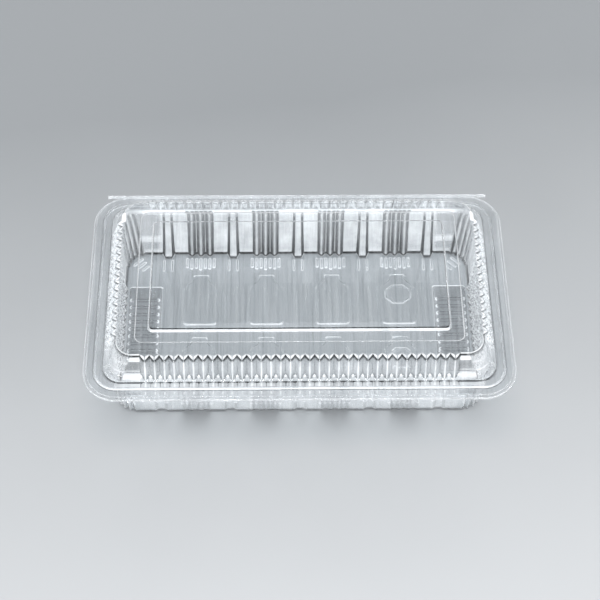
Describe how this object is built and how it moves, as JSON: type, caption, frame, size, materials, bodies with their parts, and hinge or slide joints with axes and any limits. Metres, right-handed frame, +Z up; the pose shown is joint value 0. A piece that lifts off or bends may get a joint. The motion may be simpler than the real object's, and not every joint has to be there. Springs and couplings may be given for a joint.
{
  "type": "hinged clear food pack",
  "caption": "Clear one-sheet food pack, shut and empty: a shallow fluted tray with relief on its floor, a stepped rim, and a fluted lid that turns on a fold along the back.",
  "frame": {"origin": "middle of the flat underside that the tray stands on", "axes": "+X to the right along the length, +Y to the back where the fold is, +Z up"},
  "size_m": [0.2, 0.1188, 0.047],
  "materials": {
    "clear_tray": "clear, glossy thin sheet",
    "clear_lid": "clear, glossy thin sheet"
  },
  "bodies": {
    "tray": {"tray": "clear_tray"},
    "lid": {"lid": "clear_lid"}
  },
  "joints": [
    {"name": "lid_hinge", "type": "hinge", "parent": "tray", "child": "lid", "pos_m": [0, 0.0591, 0.03035], "axis": [-1, 0, 0], "range_deg": [0, 180]}
  ]
}
